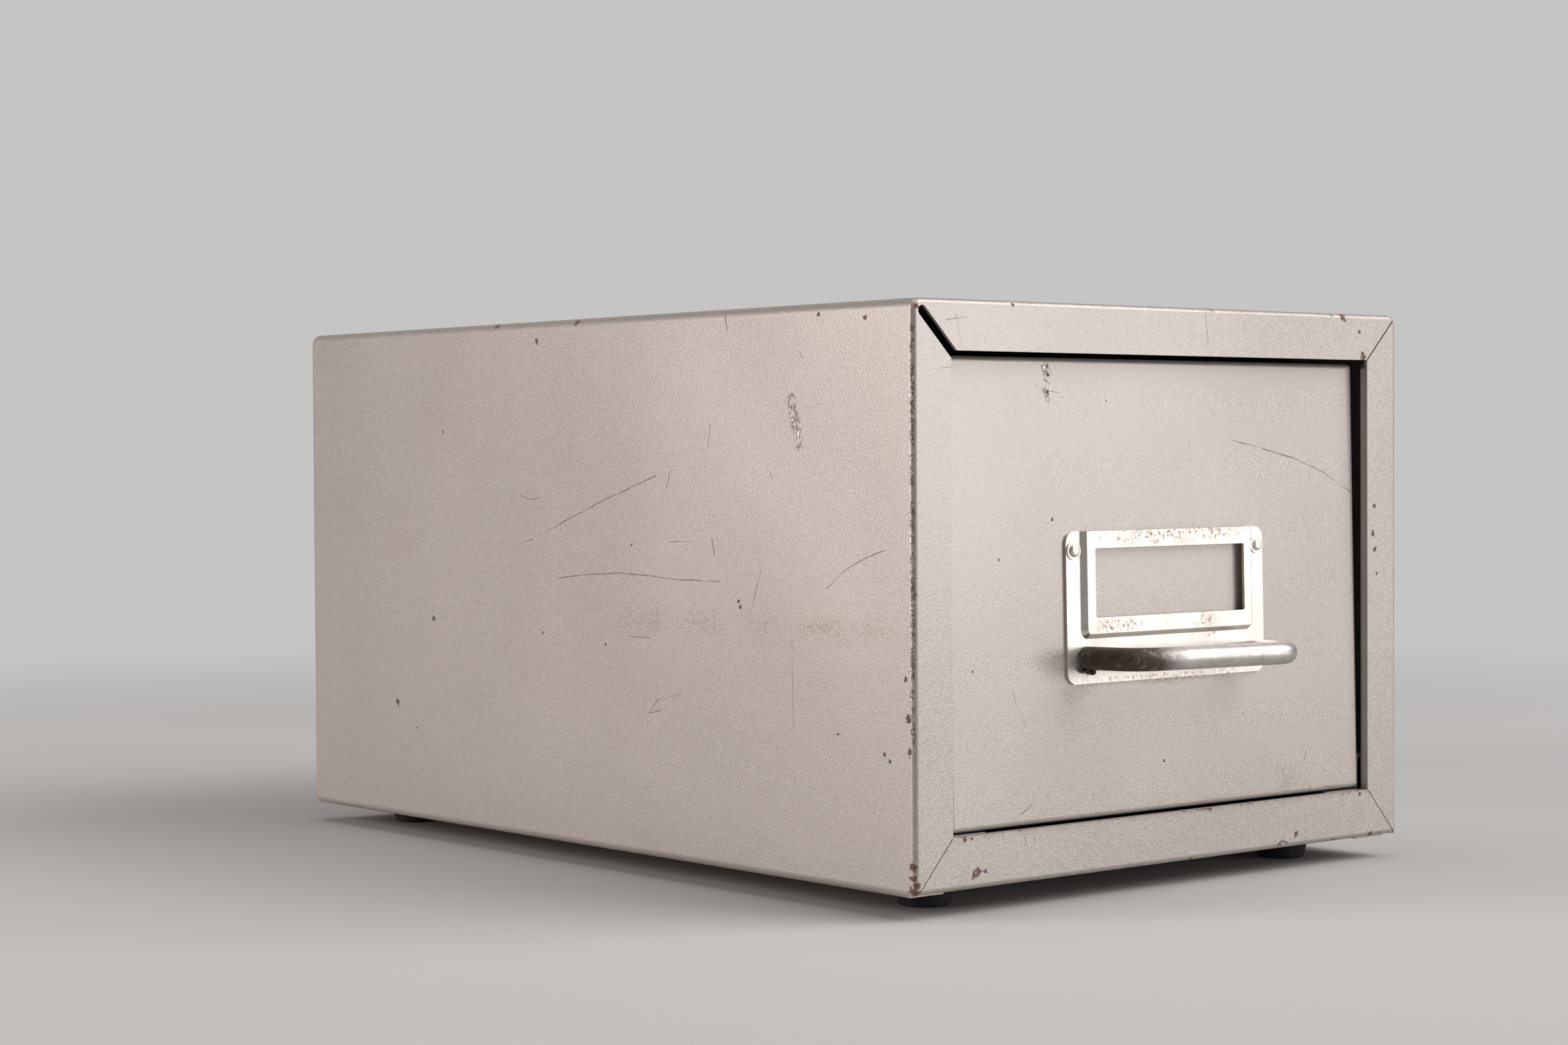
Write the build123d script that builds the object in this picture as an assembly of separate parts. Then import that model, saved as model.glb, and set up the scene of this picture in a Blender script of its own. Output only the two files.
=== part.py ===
# Index card drawer: a one-drawer cabinet of folded grey sheet steel for 6 x 4 inch cards.
#
# Everything is built in a construction frame, in millimetres: X from the middle of the case,
# Y backwards from the front face of the case's frame, Z up from the underside of the case shell.
# save() then moves each piece to the part's own frame, whose origin is the bottom centre of the
# whole object, with the front towards -Y.
from build123d import *
import os
from math import atan2, cos, degrees, radians, sin, sqrt, tan

os.makedirs("parts", exist_ok=True)

# ---------------------------------------------------------------- driving dimensions
INCH = 25.4
SHEET = 0.9                    # 20 gauge steel
CASE_W, CASE_D, CASE_H = 184.0, 282.0, 147.1
FRAME_W = INCH / 2             # front flange of the case on every side of the opening
FRAME_LOW = 14.2               # the lower flange stands a little taller, on the case bottom
HEM, HEM_W = 3.0, 5.0          # a rolled-over edge: its thickness and width
HEM_FRONT_R, HEM_BACK_R = 2.0, 0.9
FRONT_BEND, BACK_BEND, TOP_BEND, LOW_BEND = 1.4, 2.0, 2.8, 2.1
MITRE_GAPS = {"top_left": 2.7, "top_right": 0.45, "low": 0.35}
HEM_SETBACK = 1.5              # the rolled edges end this far from the mitres at the top
BACK_LIP = 13.0                # flanges round the back and the bottom opening of the wrapper

SLIDE_GAP = 0.3                # between pieces that slide past each other
TRAY_W, TRAY_SIDE, TRAY_BACK_Y = 155.6, 72.0, 272.0
FRONT_W, FRONT_LOW_Z, FRONT_TOP_Z = 156.2, 14.8, 133.4
FRONT_DEEP = 11.0              # depth of the drawer front from its face to the back of its liner
FRONT_RECESS, FRONT_LEAN = 2.1, 1.1    # the drawer front stands back and leans back (degrees)

PLATE_X = 0.5                  # the pull plate sits a little right of the middle
PLATE_W, PLATE_H, PLATE_LOW_Z, PLATE_T = 75.2, 39.2, 49.6, 0.8
CARD_FRAME_W, CARD_FRAME_LOW_Z, CARD_FRAME_RISE, CARD_FRAME_SLOPE = 63.0, 62.2, 1.5, 1.1
WINDOW_W, WINDOW_H, WINDOW_LOW_Z = 57.0, 17.9, 66.5
PLATE_RIVETS_X, PLATE_RIVET_Z = (PLATE_X - 35.0, PLATE_X + 35.0), 83.9
ROD = 6.0
HANDLE_SPAN, HANDLE_Z, HANDLE_REACH, HANDLE_BEND = 60.8, 55.8, 0.75 * INCH, 7.0
HANDLE_TILT = 0.8              # the left leg stands this much higher than the right one
TENON_R, HANDLE_WASHER_T = 2.4, 1.2
PLATE_RIVET_R = 1.5

FOOT_DROP, FOOT_TOP_R, FOOT_LOW_R = 5.7, 8.0, 6.5
FOOT_X, FOOT_FRONT_Y = 68.4, 22.5
SCREW_R, SCREW_SEAT = 2.0, 3.0  # the screw's head sits this far up inside the foot
FOOT_WASHER_T, FOOT_NUT_T = 1.0, 3.2
BUMPER_X, BUMPER_Z, BUMPER_R, BUMPER_STUD_R = 50.0, 61.0, 6.0, 2.0

TRAVEL = 240.0                 # how far the drawer pulls out before it meets its stop
STOP_W, STOP_LOW_Z, STOP_TAB_Z = 40.0, 137.6, 142.0

RAIL_HALF, RAIL_NECK, RAIL_RISE, RAIL_T = 14.0, 7.5, 6.5, 1.0
RAIL_FRONT_Y, RAIL_L = 16.0, 252.0
RAIL_RIVETS_Y, RAIL_RIVET_R = (36.0, 143.0, 250.0), 1.6
SHOE_T, SHOE_L, SHOE_FRONT_Y = 1.2, 56.0, 203.0
FOLLOWER_W, FOLLOWER_H, FOLLOWER_LEAN = 146.0, 92.0, 12.0
FOLLOWER_RIVETS_X, FOLLOWER_RIVET_Y = (-9.0, 9.0), SHOE_FRONT_Y + 11
PIN_R, PIN_Y, PIN_RISE = 1.6, 241.0, 8.0
EAR_X = 11.0
LEVER_BARREL_R, LEVER_T, LEVER_W = 3.0, 1.5, 13.0
LEVER_UP, LEVER_LEAN, CAM_ANGLE = 42.0, 17.0, 15.0
SPRING_WIRE, SPRING_R, SPRING_PITCH, SPRING_TURNS = 0.7, 2.5, 0.85, 5

# ---------------------------------------------------------------- derived sizes
HALF_W = CASE_W / 2
INNER_HALF = HALF_W - SHEET
FRAME_X = HALF_W - FRAME_W               # half the width of the case's front opening
FRAME_TOP_Z = CASE_H - FRAME_W
TRAY_HALF = TRAY_W / 2
TRAY_Z = FRAME_LOW + SLIDE_GAP           # underside of the tray
TRAY_FLOOR = TRAY_Z + SHEET
TRAY_TOP_Z = TRAY_Z + TRAY_SIDE
BACK_PANEL_Y = CASE_D - 2 * SHEET        # front face of the case's back panel
RAIL_TOP = TRAY_FLOOR + RAIL_RISE
SHOE_LOW = RAIL_TOP + SLIDE_GAP
SHOE_TOP = SHOE_LOW + SHOE_T
PIN_Z = SHOE_TOP + PIN_RISE
BAR_Y = -HANDLE_REACH                    # handle bar's centre in front of the drawer's face
LEAN_RAD = radians(FRONT_LEAN)
HANDLE_NOSE = FRONT_RECESS + (HANDLE_Z - FRONT_LOW_Z) * sin(LEAN_RAD) + BAR_Y * cos(LEAN_RAD) - ROD / 2
ORIGIN_Y = (HANDLE_NOSE + CASE_D) / 2    # middle of the whole object, handle to back

# Places a piece of the drawer front, built upright with its face at Y = 0, where it really stands.
LEAN = Pos(0, FRONT_RECESS, FRONT_LOW_Z) * Rot(X=-FRONT_LEAN) * Pos(0, 0, -FRONT_LOW_Z)


# ---------------------------------------------------------------- helpers
def save(name, piece):
    """Write one piece to its own file, in the part's frame."""
    export_step(Pos(0, -ORIGIN_Y, FOOT_DROP) * piece, f"parts/{name}.step")


def block(x0, x1, y0, y1, z0, z1):
    """A box between two corners."""
    return Pos((x0 + x1) / 2, (y0 + y1) / 2, (z0 + z1) / 2) * Box(x1 - x0, y1 - y0, z1 - z0)


def post(x, y, z0, z1, r):
    """An upright round post."""
    return Pos(x, y, (z0 + z1) / 2) * Cylinder(r, z1 - z0)


def pin_y(x, z, y0, y1, r):
    """A round pin that points along Y."""
    return Pos(x, (y0 + y1) / 2, z) * Rot(X=90) * Cylinder(r, y1 - y0)


def pin_x(x0, x1, y, z, r):
    """A round pin that points along X."""
    return Pos((x0 + x1) / 2, y, z) * Rot(Y=90) * Cylinder(r, x1 - x0)


def prism(points, y0, y1):
    """A solid with the given (x, z) outline between two Y planes."""
    outline = make_face(Polyline(*points, close=True))
    return extrude(along(y0) * outline, y0 - y1)


def folded(points, bend, thick, plane, length):
    """Sheet folded along an outline; the metal lies to the left of the walk along the points."""
    path = FilletPolyline(*points, radius=bend)
    outline = path.wires()[0].offset_2d(thick, side=Side.LEFT, closed=True)
    return extrude(plane * Face(outline), length)


def across(x0):
    """Plane for a (y, z) outline that is drawn out along +X from x0."""
    return Plane((x0, 0, 0), x_dir=(0, 1, 0), z_dir=(1, 0, 0))


def along(y0):
    """Plane for an (x, z) outline; a negative length draws it out along +Y from y0."""
    return Plane((0, y0, 0), x_dir=(1, 0, 0), z_dir=(0, -1, 0))


# ---------------------------------------------------------------- case
def rounded_case(inset):
    """The case as a solid box with every bend rounded, drawn in by an inset."""
    half, low, top = HALF_W - inset, inset, CASE_H - inset
    outline = Pos(0, (low + top) / 2) * Rectangle(2 * half, top - low)
    outline = fillet(outline.vertices().group_by(Axis.Y)[-1], TOP_BEND - inset)
    outline = fillet(outline.vertices().group_by(Axis.Y)[0], LOW_BEND - inset)
    solid = extrude(along(inset) * outline, -(CASE_D - 2 * inset))
    solid = fillet(solid.faces().sort_by(Axis.Y)[0].edges(), FRONT_BEND - inset)
    return fillet(solid.faces().sort_by(Axis.Y)[-1].edges(), BACK_BEND - inset)


def lower_flange_outline(slack):
    """Outline of the lower front flange between its two mitres, drawn in by a slack."""
    foot, shoulder = HALF_W - slack, FRAME_X - slack
    return [(-foot, 0), (-foot, -1), (foot, -1), (foot, 0), (shoulder, FRAME_LOW), (-shoulder, FRAME_LOW)]


def mitre_cut(side, gap, stop):
    """A slot with round ends through a top corner of the frame, ending short of the outer corner."""
    reach = FRAME_W + HEM - stop
    middle = stop + reach / 2
    slot = Pos(side * (HALF_W - middle), CASE_H - middle) * Rot(Z=side * 45) * SlotOverall(reach * sqrt(2), gap)
    return extrude(along(-1) * slot, -HEM - 2)


def hem_bar(x0, x1, z0, z1, edges):
    """The rolled-over inner edge of a flange, round on the two edges that face the opening."""
    bar = block(x0, x1, 0, HEM, z0, z1)
    bar = fillet(edges(bar).sort_by(Axis.Y)[0], HEM_FRONT_R)
    return fillet(edges(bar).sort_by(Axis.Y)[-1], HEM_BACK_R)


def case_wrapper():
    """Top and both sides in one folded sheet, with flanges to the front, back and bottom."""
    shell = rounded_case(0) - rounded_case(SHEET)
    shell -= block(-FRAME_X, FRAME_X, -1, 5, FRAME_LOW - 5, FRAME_TOP_Z)
    back_half = HALF_W - BACK_LIP
    shell -= block(-back_half, back_half, CASE_D - 5, CASE_D + 1, -1, CASE_H - BACK_LIP)
    shell -= block(-back_half, back_half, -1, CASE_D + 1, -1, LOW_BEND)
    hems = hem_bar(-FRAME_X - HEM_W, FRAME_X + HEM_W, FRAME_TOP_Z, FRAME_TOP_Z + HEM_W,
                   lambda bar: bar.edges().filter_by(Axis.X).group_by(Axis.Z)[0])
    for side in (-1, 1):
        inner, outer = side * FRAME_X, side * (FRAME_X + HEM_W)
        hems += hem_bar(min(inner, outer), max(inner, outer), FRAME_LOW - HEM_W, FRAME_TOP_Z + HEM_W,
                        lambda bar: bar.edges().filter_by(Axis.Z).group_by(Axis.X)[-1 if side < 0 else 0])
    for side, corner, stop in ((-1, "top_left", 2.2), (1, "top_right", 1.6)):
        hems -= mitre_cut(side, MITRE_GAPS[corner] + 2 * HEM_SETBACK, 0)
        shell -= mitre_cut(side, MITRE_GAPS[corner], stop)
    shell += hems
    return shell - prism(lower_flange_outline(-MITRE_GAPS["low"] / 2), -1, HEM + 1)


def foot_places():
    """Name and place of each foot."""
    for row, y in (("front", FOOT_FRONT_Y), ("rear", CASE_D - FOOT_FRONT_Y)):
        for side, x in (("left", -FOOT_X), ("right", FOOT_X)):
            yield f"{row}_{side}", x, y


def case_bottom():
    """Bottom pan on the wrapper's lips, folded up in front as the frame's lower flange."""
    side_z, low, corner = 10.0, SHEET, LOW_BEND + 0.2
    front_y, rear_y = 4.0, BACK_PANEL_Y
    pan = folded([(-INNER_HALF, side_z), (-INNER_HALF, low), (INNER_HALF, low), (INNER_HALF, side_z)],
                 2.0, SHEET, along(front_y), -(rear_y - 4 - front_y))
    flange = folded([(0, FRAME_LOW), (0, low), (front_y + 1, low)], FRONT_BEND, SHEET,
                    across(-HALF_W), CASE_W)
    flange += hem_bar(-HALF_W, HALF_W, FRAME_LOW - HEM_W, FRAME_LOW,
                      lambda bar: bar.edges().filter_by(Axis.X).group_by(Axis.Z)[-1])
    flange &= prism(lower_flange_outline(MITRE_GAPS["low"] / 2), -1, front_y + 2)
    for side in (-1, 1):
        edge = side * (INNER_HALF - corner)
        flange -= block(min(edge, side * HALF_W), max(edge, side * HALF_W), FRONT_BEND, 9, -1, 2.5)
    rear = folded([(rear_y - 9, low), (rear_y, low), (rear_y, 12)], 2.0, SHEET,
                  across(-INNER_HALF + corner), 2 * (INNER_HALF - corner))
    pan += flange + rear
    for _, x, y in foot_places():
        pan -= post(x, y, 0, 5, SCREW_R)
    return pan


def case_back():
    """Flat back panel inside the wrapper's rear flanges, with holes for the two bumpers."""
    panel = block(-INNER_HALF + 1.3, INNER_HALF - 1.3, BACK_PANEL_Y, BACK_PANEL_Y + SHEET,
                  SHEET + 1.4, CASE_H - SHEET - 1.3)
    for side in (-1, 1):
        panel -= pin_y(side * BUMPER_X, BUMPER_Z, BACK_PANEL_Y - 1, CASE_D, BUMPER_STUD_R)
    return panel


def back_bumper(side):
    """Rubber bumper that the closed drawer rests against; its stud snaps through the back."""
    x, z = side * BUMPER_X, BUMPER_Z
    pad = pin_y(x, z, TRAY_BACK_Y + SLIDE_GAP, BACK_PANEL_Y, BUMPER_R)
    pad = fillet(pad.edges().sort_by(Axis.Y)[0], 1.5)
    stud = pin_y(x, z, BACK_PANEL_Y - 0.5, BACK_PANEL_Y + SHEET, BUMPER_STUD_R)
    bulb = pin_y(x, z, BACK_PANEL_Y + SHEET, BACK_PANEL_Y + SHEET + 0.8, BUMPER_STUD_R + 0.8)
    return pad + stud + fillet(bulb.edges().sort_by(Axis.Y)[-1], 0.6)


def runner():
    """Left drawer runner: a stepped strip welded to the side, with a guide wall and a shelf."""
    guide = TRAY_HALF + 0.4 + SHEET
    step_z, shelf_z = 23.1, FRAME_LOW - SHEET
    return folded([(-INNER_HALF, step_z + 11), (-INNER_HALF, step_z), (-guide, step_z),
                   (-guide, shelf_z), (-guide + 14, shelf_z)], 1.2, SHEET, along(HEM + 0.5), -(BACK_PANEL_Y - 5))


def drawer_stop():
    """Angle under the case's top that stops the drawer's back."""
    top, face = CASE_H - SHEET, TRAY_BACK_Y - SHEET - TRAVEL - SLIDE_GAP - SHEET
    return folded([(face + 13, top), (face, top), (face, STOP_LOW_Z)], 1.4, SHEET, across(-STOP_W / 2), STOP_W)


def foot(x, y):
    """Tapered rubber foot with a recess for its screw."""
    body = Pos(x, y, (SHEET - FOOT_DROP) / 2) * Cone(FOOT_LOW_R, FOOT_TOP_R, SHEET + FOOT_DROP)
    body = fillet(body.edges().group_by(Axis.Z)[0], 0.8)
    recess = post(x, y, -FOOT_DROP - 1, -FOOT_DROP + SCREW_SEAT, 4.1)
    return body - recess - post(x, y, -FOOT_DROP, 2, SCREW_R)


def foot_screw(x, y):
    """Pan-head screw up through the foot, with a cross recess."""
    seat = -FOOT_DROP + SCREW_SEAT
    head = post(x, y, seat - 2.2, seat, 3.6)
    head = fillet(head.edges().group_by(Axis.Z)[0], 1.2)
    head -= block(x - 2.2, x + 2.2, y - 0.4, y + 0.4, seat - 3, seat - 1.1)
    head -= block(x - 0.4, x + 0.4, y - 2.2, y + 2.2, seat - 3, seat - 1.1)
    return head + post(x, y, seat, 2 * SHEET + FOOT_WASHER_T + FOOT_NUT_T + 0.8, SCREW_R)


def foot_washer(x, y):
    """Washer on the case bottom under the nut."""
    low = 2 * SHEET
    return post(x, y, low, low + FOOT_WASHER_T, 5.0) - post(x, y, low - 1, low + 2, SCREW_R)


def foot_nut(x, y):
    """Hexagonal nut inside the case."""
    low = 2 * SHEET + FOOT_WASHER_T
    outline = Pos(x, y, low) * RegularPolygon(4.0, 6)
    return extrude(outline, FOOT_NUT_T) - post(x, y, low - 1, low + 5, SCREW_R)


# ---------------------------------------------------------------- drawer
def drawer_tray():
    """Bottom and both sides of the drawer in one sheet, with outward hems on top."""
    tray = folded([(-TRAY_HALF, TRAY_TOP_Z - 1), (-TRAY_HALF, TRAY_Z), (TRAY_HALF, TRAY_Z),
                   (TRAY_HALF, TRAY_TOP_Z - 1)], 1.6, SHEET, along(0), -TRAY_BACK_Y)
    for side in (-1, 1):
        outer, inner = side * (TRAY_HALF + 1.1), side * (TRAY_HALF - SHEET)
        hem = block(min(outer, inner), max(outer, inner), 0, TRAY_BACK_Y, TRAY_TOP_Z - HEM_W, TRAY_TOP_Z)
        tray += fillet(hem.edges().filter_by(Axis.Y).group_by(Axis.Z)[-1], 0.95)
    tray -= LEAN * block(-HALF_W, HALF_W, -20, FRONT_DEEP, -5, CASE_H)
    for side in (-1, 1):
        outer, inner = side * (TRAY_HALF - SHEET), side * (TRAY_HALF - SHEET - 9)
        tray += LEAN * block(min(outer, inner), max(outer, inner), FRONT_DEEP, FRONT_DEEP + SHEET,
                             TRAY_FLOOR + 8, TRAY_TOP_Z - 8)
    for y in RAIL_RIVETS_Y:
        tray -= post(0, y, TRAY_Z - 1, TRAY_FLOOR + 1, RAIL_RIVET_R)
    return tray


def drawer_back():
    """Back wall of the drawer, flanged to the sides, with a tall tab that meets the stop."""
    half, face, wall_z = TRAY_HALF - SHEET, TRAY_BACK_Y, 79.0
    wall = folded([(half, face - 10), (half, face), (-half, face), (-half, face - 10)], 1.6, SHEET,
                  Plane.XY.offset(TRAY_FLOOR + 1), wall_z - TRAY_FLOOR - 1)
    wall += block(3 - half, half - 3, face - SHEET, face, TRAY_FLOOR, TRAY_FLOOR + 2)
    upper = Pos(0, (TRAY_TOP_Z + 112) / 2 - 4) * RectangleRounded(2 * half - 8, 112 - TRAY_TOP_Z + 24, 9)
    tab = Pos(0, (100 + STOP_TAB_Z) / 2) * RectangleRounded(STOP_W, STOP_TAB_Z - 100, 4)
    return wall + extrude(along(face - SHEET) * (upper + tab), -SHEET)


def leg_z(side):
    """Height of the handle's left (-1) or right (1) leg."""
    return HANDLE_Z - side * HANDLE_TILT / 2


def drawer_front():
    """Outer skin of the drawer front: a pan with its four edges turned back."""
    half = FRONT_W / 2
    pan = block(-half, half, 0, FRONT_DEEP, FRONT_LOW_Z, FRONT_TOP_Z)
    hollow = block(-half + SHEET, half - SHEET, SHEET, FRONT_DEEP + 1, FRONT_LOW_Z + SHEET, FRONT_TOP_Z - SHEET)
    pan = fillet(pan.faces().sort_by(Axis.Y)[0].edges() + pan.edges().filter_by(Axis.Y), FRONT_BEND)
    hollow = fillet(hollow.faces().sort_by(Axis.Y)[0].edges() + hollow.edges().filter_by(Axis.Y),
                    FRONT_BEND - SHEET)
    pan -= hollow
    for side in (-1, 1):
        pan -= pin_y(side * HANDLE_SPAN / 2, leg_z(side), -1, 2, TENON_R)
    for x in PLATE_RIVETS_X:
        pan -= pin_y(x, PLATE_RIVET_Z, -1, 2, PLATE_RIVET_R)
    return LEAN * pan


def drawer_front_liner():
    """Inner skin of the drawer front, a shallow pan let into the outer one."""
    half, low, top = FRONT_W / 2 - SHEET, FRONT_LOW_Z + SHEET, FRONT_TOP_Z - SHEET
    pan = block(-half, half, FRONT_DEEP - 7, FRONT_DEEP, low, top)
    hollow = block(-half + SHEET, half - SHEET, FRONT_DEEP - 8, FRONT_DEEP - SHEET, low + SHEET, top - SHEET)
    pan = fillet(pan.faces().sort_by(Axis.Y)[-1].edges() + pan.edges().filter_by(Axis.Y), FRONT_BEND)
    hollow = fillet(hollow.faces().sort_by(Axis.Y)[-1].edges() + hollow.edges().filter_by(Axis.Y),
                    FRONT_BEND - SHEET)
    return LEAN * (pan - hollow)


def card_frame(inset, y, rise):
    """The raised part of the pull plate, sloping in on three sides and open at the top."""
    low, high = CARD_FRAME_LOW_Z - CARD_FRAME_SLOPE + inset, PLATE_LOW_Z + PLATE_H + 5
    outline = Pos(PLATE_X, (low + high) / 2) * RectangleRounded(
        CARD_FRAME_W + 2 * CARD_FRAME_SLOPE - 2 * inset, high - low, 2.2)
    return extrude(along(y) * outline, rise, taper=degrees(atan2(CARD_FRAME_SLOPE, CARD_FRAME_RISE)))


def label_holder():
    """Nickelled pull plate with a raised frame for a label card, open along its top."""
    top = PLATE_LOW_Z + PLATE_H
    outline = Pos(PLATE_X, (PLATE_LOW_Z + top) / 2) * RectangleRounded(PLATE_W, PLATE_H, 3.0)
    plate = extrude(along(-PLATE_T) * outline, -PLATE_T)
    bulge = card_frame(0, -PLATE_T, CARD_FRAME_RISE)
    bulge = fillet(bulge.faces().sort_by(Axis.Y)[0].edges(), 0.5)
    pocket = card_frame(0.6, 0, CARD_FRAME_RISE)
    plate = plate + (bulge & block(-HALF_W, HALF_W, -9, 9, 0, top)) - pocket
    window = Pos(PLATE_X, WINDOW_LOW_Z + WINDOW_H / 2) * RectangleRounded(WINDOW_W, WINDOW_H, 0.6)
    plate -= extrude(along(-9) * window, -9)
    for side in (-1, 1):
        plate -= pin_y(side * HANDLE_SPAN / 2, leg_z(side), -2, 1, TENON_R)
    for x in PLATE_RIVETS_X:
        plate -= pin_y(x, PLATE_RIVET_Z, -2, 1, PLATE_RIVET_R)
    return LEAN * plate


def plate_rivet(x):
    """Rivet with a thin brim and a small dome, clenched behind the drawer front."""
    z, face = PLATE_RIVET_Z, -PLATE_T
    brim = pin_y(x, z, face - 0.35, face, 2.4)
    dome = pin_y(x, z, face - 1.1, face, 1.6)
    dome = fillet(dome.edges().sort_by(Axis.Y)[0], 0.7)
    clench = pin_y(x, z, SHEET, SHEET + 1.1, 2.4)
    clench = fillet(clench.edges().sort_by(Axis.Y)[-1], 0.8)
    return LEAN * (brim + dome + pin_y(x, z, face, SHEET, PLATE_RIVET_R) + clench)


def pull_handle():
    """Fixed pull bent from round rod, shouldered on the plate and peened over behind it."""
    half, left_z, right_z = HANDLE_SPAN / 2, leg_z(-1), leg_z(1)
    path = FilletPolyline((-half, -PLATE_T, left_z), (-half, BAR_Y, left_z), (half, BAR_Y, right_z),
                          (half, -PLATE_T, right_z), radius=HANDLE_BEND)
    start = Plane((-half, -PLATE_T, left_z), x_dir=(1, 0, 0), z_dir=(0, -1, 0))
    rod = sweep(start * Circle(ROD / 2), path=path)
    peen_y = SHEET + HANDLE_WASHER_T
    for side in (-1, 1):
        x, z = side * half, leg_z(side)
        rod += pin_y(x, z, -PLATE_T, peen_y, TENON_R)
        peen = pin_y(x, z, peen_y, peen_y + 1.4, TENON_R + 1.0)
        rod += fillet(peen.edges().sort_by(Axis.Y)[-1], 0.9)
    return LEAN * rod


def handle_washer(side):
    """Washer between the drawer front and the peened end of a leg."""
    x, z = side * HANDLE_SPAN / 2, leg_z(side)
    return LEAN * (pin_y(x, z, SHEET, SHEET + HANDLE_WASHER_T, 5.5) - pin_y(x, z, 0, 4, TENON_R))


# ---------------------------------------------------------------- card follower
def follower_rail():
    """Rail along the drawer's floor: a channel whose lips the follower's shoe hooks under."""
    wall, rise, mid = RAIL_NECK, RAIL_RISE, RAIL_T
    lip = rise - mid
    rail = folded([(-RAIL_HALF, lip), (-wall, lip), (-wall, 0), (wall, 0), (wall, lip), (RAIL_HALF, lip)],
                  0.6, RAIL_T, along(RAIL_FRONT_Y), -RAIL_L)
    rail = Pos(0, 0, TRAY_FLOOR) * rail
    for y in RAIL_RIVETS_Y:
        rail -= post(0, y, TRAY_FLOOR - 1, TRAY_FLOOR + RAIL_T + 1, RAIL_RIVET_R)
    return rail


def rail_rivet(y):
    """Rivet with its dome under the drawer and its other end flush in the rail."""
    dome = post(0, y, TRAY_Z - 1.3, TRAY_Z, 3.2)
    dome = fillet(dome.edges().sort_by(Axis.Z)[0], 1.2)
    return dome + post(0, y, TRAY_Z, TRAY_FLOOR + RAIL_T, RAIL_RIVET_R)


def follower_shoe():
    """Shoe that hooks round the rail, with two ears for the lever's pin."""
    half = RAIL_HALF + SLIDE_GAP + SHOE_T
    lip_low = RAIL_TOP - RAIL_T - SLIDE_GAP - SHOE_T
    shoe = folded([(-8.8, lip_low), (-half, lip_low), (-half, SHOE_TOP), (half, SHOE_TOP), (half, lip_low),
                   (8.8, lip_low)][::-1], 1.3, SHOE_T, along(SHOE_FRONT_Y), -SHOE_L)
    for side in (-1, 1):
        inner, outer = side * EAR_X, side * (EAR_X + SHOE_T)
        ear = block(min(inner, outer), max(inner, outer), PIN_Y - 6, PIN_Y + 6, SHOE_TOP - 0.5, PIN_Z + 5)
        ear = fillet(ear.edges().filter_by(Axis.X).group_by(Axis.Z)[-1], 4.5)
        shoe += ear
    shoe -= pin_x(-20, 20, PIN_Y, PIN_Z, PIN_R)
    shoe -= block(-6.5, 6.5, PIN_Y - 3.5, PIN_Y + 11, SHOE_LOW - 0.1, SHOE_TOP + 0.1)
    for x in FOLLOWER_RIVETS_X:
        shoe -= post(x, FOLLOWER_RIVET_Y, SHOE_LOW - 1, SHOE_TOP + 1, PLATE_RIVET_R)
    return shoe


def follower_plate():
    """Plate that holds the cards up: leaning back, with a foot riveted to the shoe."""
    front, low, foot_l = SHOE_FRONT_Y, SHOE_TOP, 18.0
    lean = tan(radians(FOLLOWER_LEAN))
    plate = folded([(front + FOLLOWER_H * lean, low + FOLLOWER_H), (front, low), (front + foot_l, low)],
                   2.0, SHOE_T, across(-FOLLOWER_W / 2), FOLLOWER_W)
    corners = plate.edges().filter_by(lambda e: abs(e.length - SHOE_T) < 0.01).group_by(Axis.Z)[-1]
    plate = fillet(corners, 14)
    for side in (-1, 1):
        inner, outer = side * 14.0, side * FOLLOWER_W
        plate -= block(min(inner, outer), max(inner, outer), front + 3.2, front + foot_l + 2, low - 1, low + 2.8)
        plate -= pin_y(side * 36, low + 46, front - 5, front + 30, 9)
    for x in FOLLOWER_RIVETS_X:
        plate -= post(x, FOLLOWER_RIVET_Y, low - 1, low + 3, PLATE_RIVET_R)
    return plate


def follower_rivet(x):
    """Rivet through the plate's foot and the shoe, flat below where it passes the rail."""
    y, top = FOLLOWER_RIVET_Y, SHOE_TOP + SHOE_T
    dome = post(x, y, top, top + 1.2, 2.8)
    dome = fillet(dome.edges().sort_by(Axis.Z)[-1], 1.0)
    return dome + post(x, y, SHOE_LOW, top, PLATE_RIVET_R)


def lock_lever():
    """Squeeze lever: finger pad above its pin, cam below that binds on the rail."""
    x0 = -EAR_X + SLIDE_GAP + 0.2
    x1 = x0 + LEVER_W
    barrel = pin_x(x0, x1, 0, 0, LEVER_BARREL_R)
    lean = radians(LEVER_LEAN)
    pad_y, pad_z = -LEVER_UP * sin(lean), LEVER_UP * cos(lean)
    arm = folded([(pad_y + 9, pad_z + 7), (pad_y, pad_z), (0, 0)], 6.0, LEVER_T, across(x0), LEVER_W)
    tip = PIN_Z - (TRAY_FLOOR + RAIL_T) - SLIDE_GAP - 0.05
    cam = Rot(X=CAM_ANGLE) * block(-5, min(x1, 5), -LEVER_T / 2, LEVER_T / 2, -tip / cos(radians(CAM_ANGLE)) + 0.6, 0)
    lever = barrel + arm + cam - pin_x(-20, 20, 0, 0, PIN_R + 0.06)
    return Pos(0, PIN_Y, PIN_Z) * lever


def lever_pin():
    """Headed pin through both ears and the lever's barrel."""
    pin = pin_x(-EAR_X - SHOE_T - 0.8, EAR_X + SHOE_T + 0.8, PIN_Y, PIN_Z, PIN_R)
    for side in (-1, 1):
        x0, x1 = side * (EAR_X + SHOE_T), side * (EAR_X + SHOE_T + 1.0)
        pin += pin_x(min(x0, x1), max(x0, x1), PIN_Y, PIN_Z, 2.6)
    return pin


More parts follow.
